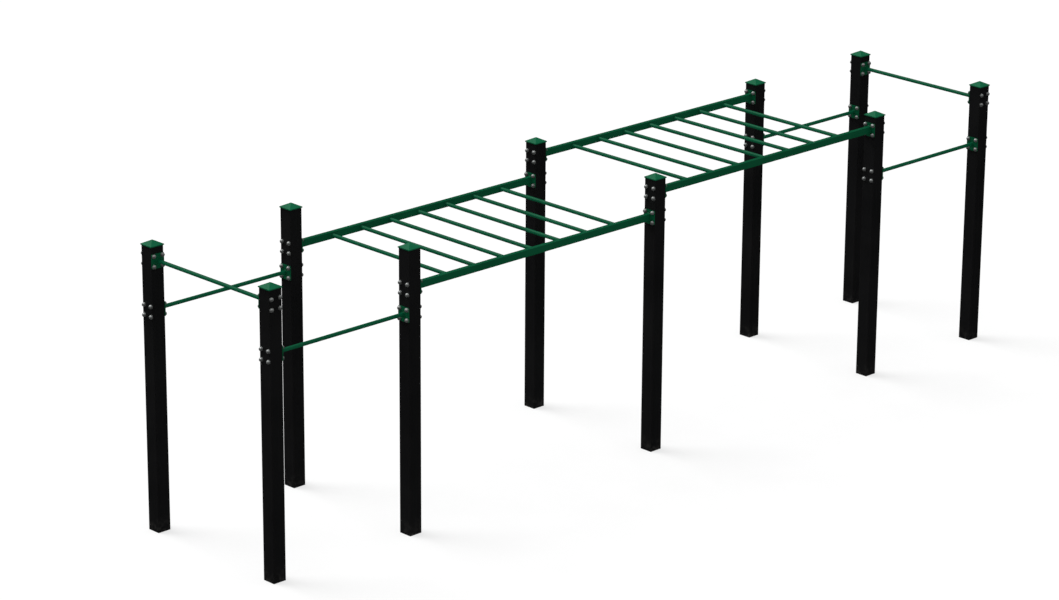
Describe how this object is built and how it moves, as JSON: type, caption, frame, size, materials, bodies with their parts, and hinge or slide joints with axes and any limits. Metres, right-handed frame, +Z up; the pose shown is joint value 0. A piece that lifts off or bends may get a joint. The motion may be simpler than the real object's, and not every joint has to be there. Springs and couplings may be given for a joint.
{
  "type": "monkey bars",
  "caption": "Outdoor monkey bars: square black posts carry a lower and a higher overhead ladder, with a bay of single pull-up and side bars at each end.",
  "frame": {"origin": "on the ground under the middle of the whole frame, the centre of the bounding box's bottom face", "axes": "+X along the ladders towards the higher one, +Y across the frame towards the back row of posts, +Z up"},
  "size_m": [8.362, 1.562, 2.4],
  "materials": {
    "post_black": "satin powder coat over steel tube",
    "frame_green": "satin powder coat over welded steel tube and plate",
    "cap_green": "satin moulded cap",
    "cover_grey": "satin moulded bolt cover and its seat washer",
    "zinc_steel": "bright zinc plate"
  },
  "bodies": {
    "root": {"post_back_1": "post_black", "post_back_2": "post_black", "post_back_3": "post_black", "post_back_4": "post_black", "post_back_5": "post_black", "post_front_1": "post_black", "post_front_2": "post_black", "post_front_3": "post_black", "post_front_4": "post_black", "post_front_5": "post_black", "cap_back_1": "cap_green", "cap_back_2": "cap_green", "cap_back_3": "cap_green", "cap_back_4": "cap_green", "cap_back_5": "cap_green", "cap_front_1": "cap_green", "cap_front_2": "cap_green", "cap_front_3": "cap_green", "cap_front_4": "cap_green", "cap_front_5": "cap_green", "end_bar_left": "frame_green", "side_bar_back_left": "frame_green", "side_bar_front_left": "frame_green", "low_rail_back": "frame_green", "low_rail_front": "frame_green", "high_rail_back": "frame_green", "high_rail_front": "frame_green", "side_bar_back_right": "frame_green", "side_bar_front_right": "frame_green", "end_bar_right": "frame_green", "low_rung_1": "frame_green", "low_rung_2": "frame_green", "low_rung_3": "frame_green", "low_rung_4": "frame_green", "low_rung_5": "frame_green", "low_rung_6": "frame_green", "low_rung_7": "frame_green", "high_rung_1": "frame_green", "high_rung_2": "frame_green", "high_rung_3": "frame_green", "high_rung_4": "frame_green", "high_rung_5": "frame_green", "high_rung_6": "frame_green", "high_rung_7": "frame_green", "flanges_end_bar_left": "frame_green", "flanges_side_bar_back_left": "frame_green", "flanges_side_bar_front_left": "frame_green", "flanges_low_rail_back": "frame_green", "flanges_low_rail_front": "frame_green", "flanges_high_rail_back": "frame_green", "flanges_high_rail_front": "frame_green", "flanges_side_bar_back_right": "frame_green", "flanges_side_bar_front_right": "frame_green", "flanges_end_bar_right": "frame_green", "bolts": "zinc_steel", "nuts": "zinc_steel", "cover_seats": "cover_grey", "bolt_covers": "cover_grey"}
  },
  "joints": []
}
